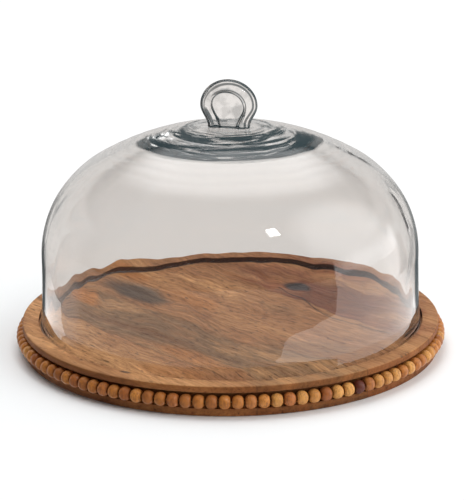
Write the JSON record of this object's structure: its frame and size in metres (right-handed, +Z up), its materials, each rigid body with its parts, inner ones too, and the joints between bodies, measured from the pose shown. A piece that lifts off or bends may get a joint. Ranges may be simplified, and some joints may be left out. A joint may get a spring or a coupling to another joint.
{
  "type": "cheese dome",
  "caption": "Clear glass bell with a pressed glass knob, standing in the recess of a round wooden serving board edged with a string of wooden beads.",
  "frame": {"origin": "centre of the board's underside, where it stands on the table", "axes": "+Z up along the bell's axis, -Y the front, +X to the right"},
  "size_m": [0.3298, 0.3298, 0.204],
  "materials": {
    "plank_1": "oiled satin",
    "plank_2": "oiled satin",
    "plank_3": "oiled satin",
    "plank_4": "oiled satin",
    "beads_straw": "satin",
    "beads_honey": "satin",
    "beads_tan": "satin",
    "beads_russet": "satin",
    "bead_walnut": "satin",
    "bead_string": "matt",
    "glass_bell": "polished",
    "glass_knob": "polished"
  },
  "bodies": {
    "board": {"plank_1": "plank_1", "plank_2": "plank_2", "plank_3": "plank_3", "plank_4": "plank_4", "beads_straw": "beads_straw", "beads_honey": "beads_honey", "beads_tan": "beads_tan", "beads_russet": "beads_russet", "bead_walnut": "bead_walnut", "bead_string": "bead_string"},
    "dome": {"glass_bell": "glass_bell", "glass_knob": "glass_knob"}
  },
  "joints": [
    {"name": "dome_lift", "type": "slide", "parent": "board", "child": "dome", "axis": [0, 0, 1], "range_m": [0, 0.19]}
  ]
}
